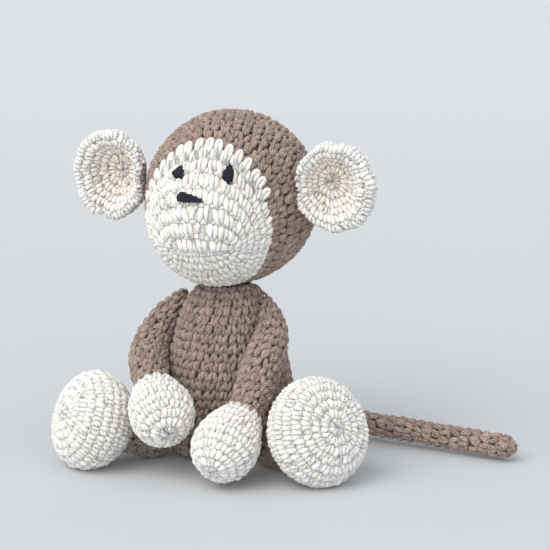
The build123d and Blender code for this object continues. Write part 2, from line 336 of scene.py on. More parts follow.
def strands(surface, t, step, s, rise, width, tall, yarn, template, wobble):
    """Strands of yarn laid on a surface: one for each stitch and each path of the template."""
    count = len(t)
    shapes = []
    for path in template:
        rows = len(path)
        jitter = 1 + random.uniform(-0.09, 0.09, (count, 1)) * wobble
        across = (path[None, :, 0] + random.normal(0, 0.05, (count, 1)) * wobble) * width[:, None]
        along = (path[None, :, 1] + random.normal(0, 0.05, (count, 1)) * wobble) * tall[:, None]
        height = path[None, :, 2] + random.normal(0, 0.14, (count, 1)) * wobble
        thick = path[None, :, 3] * yarn[:, None] * jitter
        tilt = random.normal(0, 0.13, (count, 1)) * wobble
        across, along = across - along * tilt, along + across * tilt
        line = np.stack([across, along, np.broadcast_to(height, across.shape)], 2)
        ahead = unit(np.gradient(line, axis=1))
        side = unit(np.cross(ahead, np.array([0, 0, 1.0])))
        over = np.cross(side, ahead)
        passed = np.concatenate([np.zeros((count, 1)), np.cumsum(np.linalg.norm(np.diff(line, axis=1), axis=2), 1)], 1)
        angle = np.linspace(0, 2 * math.pi, SIDES, endpoint=False) - math.pi / 2
        circle = (np.cos(angle)[None, None, :, None] * side[:, :, None, :]
                  + np.sin(angle)[None, None, :, None] * over[:, :, None, :])
        body = line[:, :, None, :] + thick[:, :, None, None] * circle
        tips = line[:, [0, -1]] + np.stack([-ahead[:, 0], ahead[:, -1]], 1) * thick[:, [0, -1], None] * 0.6
        local = np.concatenate([body.reshape(count, rows * SIDES, 3), tips], 1)
        place_t = t[:, None] + local[:, :, 0] / width[:, None] * step[:, None]
        place_s = s[:, None] + local[:, :, 1] / tall[:, None] * rise[:, None]
        points = surface.at(place_s, place_t, local[:, :, 2])
        faces = np.concatenate([ring_faces(rows, SIDES), end_fans(rows, SIDES)])
        twist = passed[:, :, None] / PLY_TURN + (np.arange(SIDES) / SIDES)[None, None, :]
        twist = np.concatenate([twist.reshape(count, -1), np.zeros((count, 2))], 1)
        # how high the yarn lies, which sets how much of the crevice's painted shade it takes
        rise_share = np.clip((local[:, :, 2] + 1.2) / 2.8, 0, 1)
        shade = np.broadcast_to(random.uniform(0, 1, (count, 1)), twist.shape)
        shapes.append((points, faces, twist, rise_share, shade))
    return shapes


class Yarnwork:
    """Gathers strands and ground fabric, and makes one mesh of them."""

    def __init__(self):
        self.points, self.faces, self.fields, self.count = [], [], [], 0

    def add(self, points, faces, twist, rise, shade):
        """points (copies, n, 3) with the same faces in each copy."""
        copies, n = points.shape[:2]
        shift = self.count + np.arange(copies)[:, None, None] * n
        self.points.append(points.reshape(-1, 3))
        self.faces.append((faces[None] + shift).reshape(-1, 4))
        self.fields.append(np.stack([twist.ravel(), rise.ravel(), shade.ravel()], 1))
        self.count += copies * n

    def ground(self, surface, start, end, depth=FABRIC_DEPTH, thick=FABRIC_THICK, rows=36, columns=72):
        """The fabric behind the stitches, as one closed layer, which takes the crevice's painted shade in full."""
        s = np.linspace(start, end, rows)
        t = np.arange(columns) / columns
        place_s, place_t = np.meshgrid(s, t, indexing="ij")
        outer = surface.at(place_s, place_t, np.full(place_s.shape, -depth))
        inner = surface.at(place_s, place_t, np.full(place_s.shape, -depth - thick))
        points = np.concatenate([outer, inner[::-1]]).reshape(1, -1, 3)
        nothing = np.zeros(points.shape[1])
        self.add(points, ring_faces(2 * rows, columns, closed=True), nothing, nothing, nothing + 0.5)

    def rounds(self, surface, gauge, start, end, template=None, edges=None, only=None, loop_low=0.0, wobble=1.0):
        """Rounds of stitches from one place along the surface to another, or between the edges that are given."""
        width, tall, yarn = gauge
        edges = surface.edges(start, end, tall) if edges is None else edges
        template = template or v_stitch(loop_low)
        for index, (low, high) in enumerate(zip(edges[:-1], edges[1:])):
            t, step, wide = surface.around((low + high) / 2, width)
            t = t + (index * ROUND_SHIFT % 1 + random.uniform(-0.12, 0.12) * wobble) * step
            if only is not None:
                kept = only(t % 1)
                t, step = t[kept], step[kept]
            s = np.full(len(t), low)
            height = np.linalg.norm(surface.at(s + high - low, t) - surface.at(s, t), axis=1)
            thick = yarn * np.clip((wide / width) ** 0.5, 0.75, 1.08)
            shapes = strands(surface, t, step, s, np.full(len(t), high - low), np.full(len(t), wide),
                             np.maximum(height, 1.0), np.full(len(t), thick), template, wobble)
            for shape in shapes:
                self.add(*shape)

    def deepen_painted_shade(self, centre, radius):
        """Lower the rise, and so deepen the crevice's painted shade, towards a centre."""
        for points, fields in zip(self.points, self.fields):
            away = np.linalg.norm(points - centre, axis=1) / radius
            fields[:, 1] *= np.clip(away, 0.0, 1.0) ** 1.3

    def mesh(self, name, on_floor=True):
        points = np.concatenate(self.points)
        if on_floor:
            points[:, 2] = np.maximum(points[:, 2], GROUND_CLEAR)
        faces = np.concatenate(self.faces)
        corners = np.where(faces[:, 3] == faces[:, 2], 3, 4)
        loops = np.concatenate([faces[:, :3], np.where(corners == 4, faces[:, 3], -1)[:, None]], 1).ravel()
        loops = loops[loops >= 0]
        data = bpy.data.meshes.new(name)
        data.vertices.add(len(points))
        data.vertices.foreach_set("co", (points * MM).astype(np.float32).ravel())
        data.loops.add(len(loops))
        data.loops.foreach_set("vertex_index", loops.astype(np.int32))
        data.polygons.add(len(faces))
        data.polygons.foreach_set("loop_start", np.concatenate([[0], np.cumsum(corners)[:-1]]).astype(np.int32))
        data.update(calc_edges=True)
        data.shade_smooth()
        fields = np.concatenate(self.fields)
        for column, field in enumerate(("twist", "rise", "shade")):
            attribute = data.attributes.new(field, "FLOAT", "POINT")
            attribute.data.foreach_set("value", fields[:, column].astype(np.float32))
        piece = bpy.data.objects.new(name, data)
        bpy.context.scene.collection.objects.link(piece)
        return piece


def sewn(work, path, radius, outward):
    """One strand of thread through the points of a path; outward is roughly away from the fabric."""
    path = np.asarray(path, float)
    rows = len(path)
    ahead = unit(np.gradient(path, axis=0))
    side = unit(np.cross(ahead, outward))
    over = np.cross(side, ahead)
    passed = drawn_length(path)
    angle = np.linspace(0, 2 * math.pi, SIDES, endpoint=False) - math.pi / 2
    circle = np.cos(angle)[None, :, None] * side[:, None, :] + np.sin(angle)[None, :, None] * over[:, None, :]
    taper = np.sin(np.linspace(0.35, math.pi - 0.35, rows)) ** 0.4
    body = path[:, None, :] + (radius * taper)[:, None, None] * circle
    tips = np.stack([path[0] - ahead[0] * radius * 0.6, path[-1] + ahead[-1] * radius * 0.6])
    points = np.concatenate([body.reshape(-1, 3), tips])[None]
    faces = np.concatenate([ring_faces(rows, SIDES), end_fans(rows, SIDES)])
    twist = (passed[:, None] / PLY_TURN + np.arange(SIDES)[None, :] / SIDES).ravel()
    twist = np.concatenate([twist, [0, 0]])
    work.add(points, faces, twist, twist * 0 + 1, twist * 0 + random.uniform(0, 1))


# ---------------------------------------------------------------- materials
def node_of(tree, kind, **inputs):
    made = tree.nodes.new(kind)
    for key, value in inputs.items():
        made.inputs[key.replace("_", " ")].default_value = value
    return made


def ramp_node(tree, *stops):
    """A colour ramp through stops, each (position, colour)."""
    made = tree.nodes.new("ShaderNodeValToRGB")
    elements = made.color_ramp.elements
    for index, (position, colour) in ((0, stops[0]), (1, stops[-1])):
        elements[index].position = position
        elements[index].color = (*colour, 1)
    for position, colour in stops[1:-1]:
        elements.new(position).color = (*colour, 1)
    return made


def math_node(tree, operation, first, factor=None, last=None):
    """A math node on an output; factor and last are numbers, or last is another output."""
    made = tree.nodes.new("ShaderNodeMath")
    made.operation = operation
    tree.links.new(first, made.inputs[0])
    if factor is not None:
        made.inputs[1].default_value = factor
    if isinstance(last, float):
        made.inputs[2].default_value = last
    elif last is not None:
        tree.links.new(last, made.inputs[2])
    return made.outputs[0]


FIBRE_TONE = 1.7        # how strongly fibres and stitches each shift a yarn's tone, and how dark the painted shade in the plies' grooves is
PLY_GROOVE_SHADE = 0.19
STITCH_TONE = 0.28


def yarn_material(name, low, middle, high, crevice_shade, roughness, sheen, soft=0.0):
    """Plied cotton yarn: mottled fibres, a ply twist in relief with painted shade in its grooves, and painted shade
    deep between the strands.
    """
    material = bpy.data.materials.new(name)
    material.use_nodes = True
    tree = material.node_tree
    link = tree.links.new
    shader = tree.nodes["Principled BSDF"]
    shader.inputs["Roughness"].default_value = roughness
    shader.inputs["Sheen Weight"].default_value = sheen
    shader.inputs["Sheen Roughness"].default_value = 0.5
    shader.inputs["Subsurface Weight"].default_value = soft
    shader.inputs["Subsurface Radius"].default_value = (1.0, 0.93, 0.85)
    shader.inputs["Subsurface Scale"].default_value = 0.003
    shader.inputs["Specular IOR Level"].default_value = 0.2
    place = tree.nodes.new("ShaderNodeTexCoord")
    fields = {}
    for field in ("twist", "rise", "shade"):
        fields[field] = tree.nodes.new("ShaderNodeAttribute")
        fields[field].attribute_name = field
    fibres = node_of(tree, "ShaderNodeTexNoise", Scale=1500.0, Detail=3.0, Roughness=0.7)
    link(place.outputs["Object"], fibres.inputs["Vector"])
    speckle = math_node(tree, "MULTIPLY_ADD", fibres.outputs["Fac"], FIBRE_TONE, -0.5)
    plies = math_node(tree, "MULTIPLY", fields["twist"].outputs["Fac"], 2 * math.pi * PLIES)
    wave = math_node(tree, "SINE", plies)
    # painted shade: the ply wave darkens the colour in the grooves of the twist
    grooved = math_node(tree, "MULTIPLY_ADD", wave, PLY_GROOVE_SHADE, speckle)
    tone = math_node(tree, "MULTIPLY_ADD", fields["shade"].outputs["Fac"], STITCH_TONE, grooved)
    tones = ramp_node(tree, (0.15, low), (0.5, middle), (0.85, high))
    link(tone, tones.inputs["Fac"])
    # painted shade: the crevice colour darkens the yarn where it lies low, and the ground fabric fully
    depth = ramp_node(tree, (0.05, crevice_shade), (0.62, (1, 1, 1)))
    link(fields["rise"].outputs["Fac"], depth.inputs["Fac"])
    shaded = tree.nodes.new("ShaderNodeMix")
    shaded.data_type = "RGBA"
    shaded.blend_type = "MULTIPLY"
    shaded.inputs["Factor"].default_value = 1.0
    link(tones.outputs["Color"], shaded.inputs[6])      # the colour sockets A and B
    link(depth.outputs["Color"], shaded.inputs[7])
    link(shaded.outputs[2], shader.inputs["Base Color"])
    relief = math_node(tree, "MULTIPLY_ADD", wave, 0.3, fibres.outputs["Fac"])
    bump = node_of(tree, "ShaderNodeBump", Strength=0.8, Distance=0.0006)
    link(relief, bump.inputs["Height"])
    link(bump.outputs["Normal"], shader.inputs["Normal"])
    return material


BROWN = yarn_material("brown_cotton", (0.158, 0.111, 0.087), (0.30, 0.221, 0.182), (0.50, 0.386, 0.323),
                      (0.33, 0.28, 0.25), 0.9, 0.25)
CREAM = yarn_material("cream_cotton", (0.84, 0.775, 0.71), (0.93, 0.87, 0.805), (0.985, 0.935, 0.875),
                      (0.975, 0.92, 0.85), 0.85, 0.2, soft=0.8)
# The ears' cream is a lighter copy of the cream, painted light against the shade in their cups; its beige crevice
# colour is painted shade for their hollows.
EAR_CREAM_LIT_AND_SHADED = yarn_material("ear_cotton_painted_light_and_shade", (0.86, 0.79, 0.72), (0.94, 0.88, 0.81), (0.985, 0.935, 0.875),
                          (0.96, 0.83, 0.70), 0.85, 0.2, soft=0.8)
FLOSS = yarn_material("black_floss", (0.006, 0.007, 0.012), (0.012, 0.014, 0.022), (0.022, 0.025, 0.036),
                      (0.5, 0.5, 0.5), 0.55, 0.05)
FIBRE = yarn_material("fibre_fill", (0.72, 0.72, 0.70), (0.8, 0.8, 0.78), (0.88, 0.88, 0.87),
                      (0.8, 0.8, 0.8), 0.95, 0.3)


def finish_piece(piece, body, material, nodes):
    """The last steps for every piece: its material, its body, and hiding the CAD nodes that it stands for."""
    piece.data.materials.append(material)
    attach(piece, body)
    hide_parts(*nodes)


def stuffing(node, body, surface, end=1.0, depth=4.2):
    """Loose fibre filling, for a stuffing node: a lumpy form that fills the fabric from inside."""
    work = Yarnwork()
    rows, columns = 48, 64
    place_s, place_t = np.meshgrid(np.linspace(0, end, rows), np.arange(columns) / columns, indexing="ij")
    turn = place_t * 2 * math.pi
    lumps = 0.35 * np.sin(place_s * 41 + 3 * np.sin(turn * 3)) * np.sin(turn * 9)
    rings = surface.at(place_s, place_t, lumps - depth)
    points = np.concatenate([rings.reshape(-1, 3), rings[[0, -1]].mean(1)])[None]
    nothing = np.zeros(points.shape[1])
    faces = np.concatenate([ring_faces(rows, columns), end_fans(rows, columns)])
    work.add(points, faces, nothing, nothing + 0.8, nothing + 0.5)
    piece = work.mesh(node.replace("stuffing", "filling"), on_floor=False)
    finish_piece(piece, body, FIBRE, [node])


# ---------------------------------------------------------------- head
skull_low, skull_high = node_box("head_shell")
SKULL = (skull_low + skull_high) / 2
SKULL_RADIUS = (skull_high - skull_low)[0] / 2
HEAD_UP = -unit(joint("ear_left_fold")["axis"])
HEAD_SIDE = unit(joint_point("ear_left_fold") - joint_point("ear_right_fold"))
HEAD_FORWARD = np.cross(HEAD_SIDE, HEAD_UP)
MUZZLE = SKULL - HEAD_SIDE * 2 + HEAD_FORWARD * 18.5 - HEAD_UP * 6.5
MUZZLE_RADIUS = 36.8
SKULL_SQUARENESS = 2.08     # 2 is a ball, more is fuller on the diagonals
MUZZLE_BLEND = 3.0          # width of the soft change from skull to muzzle
FACE_TILT = math.radians(9)
FACE_HALF_WIDTH = math.radians(46)
FACE_HALF_HEIGHT = math.radians(57)
FACE_LOW_TUCK = 0.10                    # the face is narrower low down on the monkey's left
MUZZLE_MIDDLE_TILT = math.radians(20)   # the face's rounds start this far below straight ahead
FACE_START_SPREAD = 0.30                # half length of the first round's slot, at unit distance
HEAD_COLUMNS = 240
FACE_ROWS = 81
CAP_ROWS = 141


def head_skin(direction):
    """Points on the head along directions from the skull's middle."""
    local = np.stack([direction @ HEAD_SIDE, direction @ HEAD_FORWARD, direction @ HEAD_UP], -1)
    power = SKULL_SQUARENESS
    skull = (SKULL_RADIUS - CREST) * np.sum(np.abs(local) ** power, -1) ** (-1 / power)
    away = MUZZLE - SKULL
    nearer = direction @ away
    muzzle = nearer + np.sqrt((MUZZLE_RADIUS - CREST) ** 2 - away @ away + nearer**2)
    gap = np.abs(skull - muzzle)
    soft = np.maximum(MUZZLE_BLEND - gap, 0) ** 2 / (4 * MUZZLE_BLEND)
    return SKULL + direction * (np.maximum(skull, muzzle) + soft)[..., None]


def head_grid():
    """The head's surface, from the face's rounds to the brown ones at the back, and where the face ends on it."""
    ahead = unit(HEAD_FORWARD * math.cos(FACE_TILT) - HEAD_UP * math.sin(FACE_TILT))
    upward = np.cross(ahead, HEAD_SIDE)
    turn = np.linspace(0, 2 * math.pi, HEAD_COLUMNS, endpoint=False)
    jowl = 1 - FACE_LOW_TUCK * 4 * (np.maximum(np.cos(turn), 0) * np.maximum(-np.sin(turn), 0)) ** 2
    edge = unit(ahead + (np.cos(turn) * jowl)[:, None] * math.tan(FACE_HALF_WIDTH) * HEAD_SIDE
                + np.sin(turn)[:, None] * math.tan(FACE_HALF_HEIGHT) * upward)
    middle = HEAD_FORWARD * math.cos(MUZZLE_MIDDLE_TILT) - HEAD_UP * math.sin(MUZZLE_MIDDLE_TILT)
    start = unit(middle + np.cos(turn)[:, None] * FACE_START_SPREAD * HEAD_SIDE)
    back = np.broadcast_to(-ahead, edge.shape)

    def arc(first, second, share):
        angle = np.arccos(np.clip(np.sum(first * second, -1), -1, 1))[None, :, None]
        share = share[:, None, None]
        return (np.sin((1 - share) * angle) * first + np.sin(share * angle) * second) / np.sin(angle)

    rows = np.concatenate([arc(start, edge, np.linspace(0, 1, FACE_ROWS)),
                           arc(edge, back, np.linspace(0, 1, CAP_ROWS))[1:-1]])
    return head_skin(unit(rows)), (FACE_ROWS - 1) / (len(rows) - 1)


points, FACE_END = head_grid()
head = Surface(stuffed(points))


def upper_face(t):
    """The part of the face's edge above the cheeks."""
    return (t > 0.03) & (t < 0.47)


PETAL_INSIDE = 5.0      # the petals start this far inside the face's edge
PETAL_OUTSIDE = 2.9     # and lie this far out over the brown
PETAL_GAUGE = (5.6, 9, 1.15)


def first_row(work, surface):
    """The strands across the slot in the middle of the face, where the first round begins."""
    outward = unit(surface.normals[0].mean(0))
    for place in np.linspace(-0.92, 0.92, 18):
        upper, lower = (math.acos(np.clip(place + shift, -1, 1)) / (2 * math.pi) for shift in (-0.04, 0.04))
        path = surface.at(np.array([0.02, 0.0, 0.02]), np.array([upper, (upper + lower) / 2, 1 - lower]),
                          np.array([-1.0, 0.5, -1.0]))
        sewn(work, smooth_line(path, 7), 1.3, outward)


def make_head():
    face = Yarnwork()
    face.ground(head, 0.0, FACE_END + 0.01, depth=CREAM_DEPTH, rows=40, columns=96)
    edges = head.edges(0, FACE_END, FACE_GAUGE[1])
    face.rounds(head, FACE_GAUGE, 0, 0, edges=edges)
    here = np.linspace(0, 1, len(head.reach))
    rim = np.interp(FACE_END, here, head.reach)
    petals = np.interp([rim - PETAL_INSIDE, rim + PETAL_OUTSIDE], head.reach, here)
    face.rounds(head, PETAL_GAUGE, 0, 0, edges=petals, only=upper_face, template=petal_stitch(), wobble=0.5)
    first_row(face, head)
    piece = face.mesh("face_crochet")
    finish_piece(piece, "head", CREAM, ["face_panel"])
    cap = Yarnwork()
    cap.ground(head, FACE_END - 0.005, 1.0, rows=48, columns=96)
    cap.rounds(head, HEAD_GAUGE, FACE_END, 0.995, loop_low=LOOSE)
    piece = cap.mesh("head_crochet")
    finish_piece(piece, "head", BROWN, ["head_shell"])
    stuffing("head_stuffing", "head", head)


make_head()


# ---------------------------------------------------------------- torso
TORSO_TOP = node_box("torso_shell")[1][2]
TORSO_HEIGHTS = [0.3, 0.3, 0.5, 3, 10, 22, 34, 46, 58, 69, 76, 81, TORSO_TOP, TORSO_TOP + 4, TORSO_TOP + 4]
TORSO_RADII = [0, 12, 27, 33, 35.6, 36, 35.2, 33.0, 29.8, 26.8, 24.8, 22.6, 21, 15, 0]
TOE_FORWARD = 0.22      # the torso's base bulges to the front by this share of its radius,
TOE_SPREAD = 0.9        # fading out over these radians to each side
TOE_HEIGHT = 26         # and up to this height


def make_torso():
    radii = np.maximum(np.array(TORSO_RADII) - CREST, 0)
    outline = np.stack([TORSO_HEIGHTS, radii], 1)
    rows = smooth_line(outline, 500)
    drawn = drawn_length(rows)
    even = np.linspace(0, drawn[-1], 200)
    height = np.interp(even, drawn, rows[:, 0])
    radius = np.maximum(np.interp(even, drawn, rows[:, 1]), 0)
    centres = height[:, None] * (0, 0, 1)
    first = np.tile([0.0, 1.0, 0.0], (len(height), 1))
    grid = turned(centres, radius, first, np.tile([-1.0, 0.0, 0.0], (len(height), 1)))
    from_front = np.arctan2(grid[..., 0], -grid[..., 1])
    toe = np.exp(-(from_front / TOE_SPREAD) ** 2) * np.clip(1 - grid[..., 2] / TOE_HEIGHT, 0, 1)
    outer = np.linalg.norm(grid[..., :2], axis=-1) / TORSO_RADII[4]
    grid *= 1 + (TOE_FORWARD * toe * outer)[..., None] * (1, 1, 0)
    torso = Surface(stuffed(grid))
    work = Yarnwork()
    work.ground(torso, 0.0, 1.0, rows=48, columns=96)
    work.rounds(torso, BODY_GAUGE, 0.0, 1.0, loop_low=LOOSE)
    piece = work.mesh("torso_crochet")
    finish_piece(piece, "torso", BROWN, ["torso_shell"])
    stuffing("torso_stuffing", "torso", torso, end=0.97)


make_torso()


# ---------------------------------------------------------------- arms
ARM_PROFILE = [(0, 0), (0.6, 5.5), (3, 10.7), (8, 14.9), (14, 16.9), (20, 16.6), (27, 14.4), (34.5, 11.4),
               (41, 10.5), (52, 11.2), (66, 11.5), (78, 10.6), (88, 8.8), (96, 6.8), (102, 4.6), (105.5, 0)]
WRIST_AT = {"left": 37.0, "right": 34.5}
HAND_SHIFT = {"left": (2, 0, 0.5), "right": (0.6, 0, 0)}
HAND_REACH = {"left": 25, "right": 22}      # from the hand's middle to its tip
SHOULDER_INWARD = 0.2       # the arm's end lies inside the torso by this share of the shoulder's distance
SHOULDER_FIRST = 0.4        # and the point before it by this share of that
SHOULDER_RISE = 8
TOOTH_INSIDE = 1.5          # the pointed stitches start this far inside the wrist
TOOTH_OUTSIDE = 3.1         # and end this far out over the brown


def spine_places(profile):
    """Distance along the spine, and the share of the drawn outline passed there."""
    outline, drawn = limb_outline(profile)
    return outline[:, 0], drawn / drawn[-1]


def tooth_edges(surface, wrist_share):
    """Where the last off-white stitches start and end, over the first brown round."""
    here = np.linspace(0, 1, len(surface.reach))
    wrist = np.interp(wrist_share, here, surface.reach)
    return np.interp([wrist - TOOTH_INSIDE, wrist + TOOTH_OUTSIDE], surface.reach, here)


def make_arm(name, sleeve):
    """An arm from the tip of the hand to the shoulder."""
    shoulder = joint_point(f"arm_{name}_raise")
    hand, wrist = sleeve[0] + HAND_SHIFT[name], sleeve[1]
    towards = unit(hand - wrist)
    inward = -shoulder * (1, 1, 0) * SHOULDER_INWARD
    spine = np.array([hand + towards * HAND_REACH[name], hand, *sleeve[1:], shoulder + inward * SHOULDER_FIRST,
                      shoulder + inward + (0, 0, SHOULDER_RISE)])
    length = np.sum(np.linalg.norm(np.diff(smooth_line(spine), axis=0), axis=1))
    profile = np.array(ARM_PROFILE)
    profile[:, 0] *= length / profile[-1, 0]
    surface = Surface(stuffed(limb(spine, profile)))
    wrist_share = np.interp(WRIST_AT[name], *spine_places(profile))
    hand_work = Yarnwork()
    hand_work.ground(surface, 0.0, wrist_share + 0.01, depth=CREAM_DEPTH)
    hand_work.rounds(surface, LIMB_GAUGE, 0.0, wrist_share)
    arm_work = Yarnwork()
    arm_work.ground(surface, wrist_share - 0.01, 1.0)
    arm_work.rounds(surface, BODY_GAUGE, wrist_share, 0.99, loop_low=LOOSE)
    hand_work.rounds(surface, TOOTH_GAUGE, 0, 0, edges=tooth_edges(surface, wrist_share), template=tooth_stitch())
    piece = hand_work.mesh(f"hand_{name}_crochet")
    finish_piece(piece, f"arm_{name}", CREAM, [f"hand_{name}"])
    piece = arm_work.mesh(f"arm_{name}_crochet")
    finish_piece(piece, f"arm_{name}", BROWN, [f"arm_{name}"])
    stuffing(f"arm_stuffing_{name}", f"arm_{name}", surface)


SLEEVES = {     # wrist, forearm and upper arm, from the wrist up to the shoulder
    "left": [(24.5, -47, 36.5), (26.5, -34, 50), (29, -19.5, 66.5)],
    "right": [(-30.5, -38.5, 43.5), (-39, -15.5, 51), (-34.8, -5, 66.5)],
}
for side_name, bends in SLEEVES.items():
    make_arm(side_name, [node_centre(f"hand_{side_name}"), *[np.array(bend, float) for bend in bends]])


# ---------------------------------------------------------------- legs and feet
FEET = {"left": ((64, -56), 28.9), "right": ((-60.5, -56.5), 27)}
LEG_RADIUS = 13.2
SOLE_DEPTH = 13
HEEL_DEPTH = 20
HIP_RADIUS = 14


def make_leg(name, middle, radius):
    """A leg from the middle of the sole to the hip."""
    hip = joint_point(f"leg_{name}_splay")
    foot = np.array([*middle, node_centre(f"foot_{name}")[2]])
    ahead = unit(foot - hip)
    reach = np.linalg.norm(foot - hip)
    length = reach + SOLE_DEPTH + HIP_RADIUS
    ankle = SOLE_DEPTH + HEEL_DEPTH
    profile = [(0, 0), (0.5, radius * 0.3), (2.4, radius * 0.6), (6.2, radius * 0.86), (13, radius),
               (20, radius * 0.97), (26.5, radius * 0.83), (ankle, LEG_RADIUS * 1.15), (ankle + 4, LEG_RADIUS),
               (length - 14, LEG_RADIUS), (length - 8, LEG_RADIUS * 0.95), (length - 3, LEG_RADIUS * 0.7), (length, 0)]
    spine = [foot + ahead * SOLE_DEPTH, foot, hip + ahead * LEG_RADIUS, hip - ahead * HIP_RADIUS]
    surface = Surface(stuffed(limb(spine, profile)))
    ankle_share = np.interp(ankle + 1, *spine_places(np.array(profile)))
    foot_work = Yarnwork()
    foot_work.ground(surface, 0.0, ankle_share + 0.01, depth=CREAM_DEPTH)
    foot_work.rounds(surface, LIMB_GAUGE, 0.0, ankle_share)
    piece = foot_work.mesh(f"foot_{name}_crochet")
    finish_piece(piece, f"leg_{name}", CREAM, [f"foot_{name}"])
    leg_work = Yarnwork()
    leg_work.ground(surface, ankle_share - 0.01, 1.0)
    leg_work.rounds(surface, BODY_GAUGE, ankle_share, 0.99)
    piece = leg_work.mesh(f"leg_{name}_crochet")
    finish_piece(piece, f"leg_{name}", BROWN, [f"leg_{name}"])
    stuffing(f"leg_stuffing_{name}", f"leg_{name}", surface)


for side_name, (middle, radius) in FEET.items():
    make_leg(side_name, middle, radius)


# ---------------------------------------------------------------- tail
def make_tail():
    low, high = node_box("tail_shell")
    root = joint_point("tail_lift")
    radius = root[0] - low[0]
    axis = joint("tail_lift")["axis"]
    ahead = unit((-axis[1], axis[0], 0))
    tip = root + ahead * (high[0] - radius - root[0]) / ahead[0]
    tip[2] = low[2] + radius
    along = unit(tip - root)
    length = np.linalg.norm(tip - root) + 2 * radius
    turn = np.linspace(0, math.pi / 2, 6)
    profile = [(radius * (1 - math.cos(a)), radius * math.sin(a)) for a in turn]
    profile += [(along_it, radius) for along_it in np.linspace(1.6 * radius, length - 1.6 * radius, 24)]
    profile += [(length - d, r) for d, r in reversed(profile[:6])]
    middle = (root + tip) / 2
    surface = Surface(stuffed(limb([tip + along * radius, tip, middle, root, root - along * radius], profile)))
    work = Yarnwork()
    work.ground(surface, 0.0, 1.0, rows=60, columns=48)
    work.rounds(surface, TAIL_GAUGE, 0.0, 0.995)
    piece = work.mesh("tail_crochet")
    finish_piece(piece, "tail", BROWN, ["tail_shell"])
    stuffing("tail_stuffing", "tail", surface)


make_tail()


# ---------------------------------------------------------------- ears
EAR_PROFILE = [(0, -9.6), (6, -9.0), (11, -7.0), (14.4, -3.8), (16.6, -0.6), (19.2, 1.6), (21.8, 1.2), (22.8, -1.6),
               (21.4, -5.0), (18, -8.8), (13, -11.6), (7, -13), (0, -13.4)]
EAR_SIZES = {"left": (20.2, 21.9, (-0.2, 0, -1.8)),     # half width, half height, shift
             "right": (19.6, 23.0, (-0.4, 0, 0.0))}
EAR_OUT = 19            # from the root to the ear's middle
EAR_LEAN = (4.0, 1.5)   # the bowl's middle lies this far towards the head, and up
EAR_SHADE_RADIUS = 19.0       # radius in which the ear's inside takes a beige painted shade
EAR_SHADE_AT = (3.0, 1.5)      # its middle, as far towards the head, and up


def make_ear(name, side):
    half_wide, half_high, shift = EAR_SIZES[name]
    centre = joint_point(f"ear_{name}_fold") + HEAD_SIDE * side * EAR_OUT + shift
    outline = smooth_line(EAR_PROFILE, 500)
    drawn = drawn_length(outline)
    even = np.linspace(0, drawn[-1], 120)
    out = np.maximum(np.interp(even, drawn, outline[:, 0]), 0)[:, None] / EAR_PROFILE[7][0]
    deep = np.interp(even, drawn, outline[:, 1])[:, None]
    angle = np.linspace(0, 2 * math.pi, COLUMNS, endpoint=False)
    root = math.pi if side > 0 else 0.0
    pinch = np.exp(-(np.angle(np.exp(1j * (angle - root))) / 0.34) ** 2)
    ruffle = 1 + out**2 * (0.022 * np.sin(7 * angle + side) + 0.016 * np.sin(11 * angle) - 0.05 * pinch)
    bowl = 1 - np.minimum(out, 1) ** 2
    across = out * ruffle * np.cos(angle) * half_wide - side * EAR_LEAN[0] * bowl
    tall = out * ruffle * np.sin(angle) * half_high + EAR_LEAN[1] * bowl
    front = deep + 0.6 * pinch * out**2 + 0.9 * out**2 * np.sin(5 * angle + 1)
    grid = (centre + across[..., None] * HEAD_SIDE + tall[..., None] * HEAD_UP + front[..., None] * HEAD_FORWARD)
    surface = Surface(grid)
    work = Yarnwork()
    work.ground(surface, 0.0, 1.0, depth=0.7, thick=0.5, rows=48, columns=72)
    work.rounds(surface, EAR_GAUGE, 0.0, 1.0)
    # painted shade: the beige crevice colour deepens towards the ear's hollow
    work.deepen_painted_shade(centre - side * EAR_SHADE_AT[0] * HEAD_SIDE + EAR_SHADE_AT[1] * HEAD_UP, EAR_SHADE_RADIUS)
    piece = work.mesh(f"ear_{name}_crochet")
    finish_piece(piece, f"ear_{name}", EAR_CREAM_LIT_AND_SHADED, [f"ear_{name}"])


make_ear("left", 1)
make_ear("right", -1)


# ---------------------------------------------------------------- embroidery and seams
SATIN_YARN = 0.8        # radius of the black thread
SEAM_YARN = 1.4         # thickness of the sewing yarn
NECK_YARN = 2.4


def on_face(middle, across, along, height):
    """A point of the face near a middle direction: across and up from it, at a height above the skin."""
    direction = unit(middle - SKULL)
    right = unit(HEAD_SIDE - direction * (HEAD_SIDE @ direction))
    upward = np.cross(direction, right)
    reach = np.linalg.norm(head_skin(direction) - SKULL)
    aim = unit(direction * reach + right * across + upward * along)
    return head_skin(aim) + aim * height


def satin(name, node, bars, upright):
    """Embroidery: parallel bars of thread, each (place across the bars, low end, high end)."""
    middle = node_centre(node)
    outward = unit(middle - SKULL)
    work = Yarnwork()
    for place, low, high in bars:
        share = np.linspace(0, 1, 9)
        height = 0.7 + 1.9 * np.sin(math.pi * np.clip(share, 0.04, 0.96)) ** 0.5
        steps = low + (high - low) * share
        path = [on_face(middle, place, step, h) if upright else on_face(middle, step, place, h)
                for step, h in zip(steps, height)]
        sewn(work, path, SATIN_YARN, outward)
    piece = work.mesh(name)
    finish_piece(piece, "head", FLOSS, [node])


satin("eye_left_satin", "eye_left", [(-1.3, -2.6, 2.4), (-0.4, -4.5, 4.4), (0.6, -5.2, 5.6), (1.6, -5.0, 4.8),
                                     (2.6, -3.2, 2.8)], True)
satin("eye_right_satin", "eye_right", [(-1.6, -1.6, 0.8), (-0.6, -2.8, 2.2), (0.4, -3.1, 3.3), (1.4, -3.2, 3.8),
                                       (2.4, -3.2, 3.0), (3.3, -3.3, 0.9), (4.0, -3.4, -1.9)], True)
satin("nose_satin", "nose_stitch", [(-1.8, -6.2, 6.6), (-0.9, -6.7, 6.4), (0.0, -6.9, 4.4), (0.9, -6.6, 1.4),
                                    (1.7, -5.6, -2.0)], False)


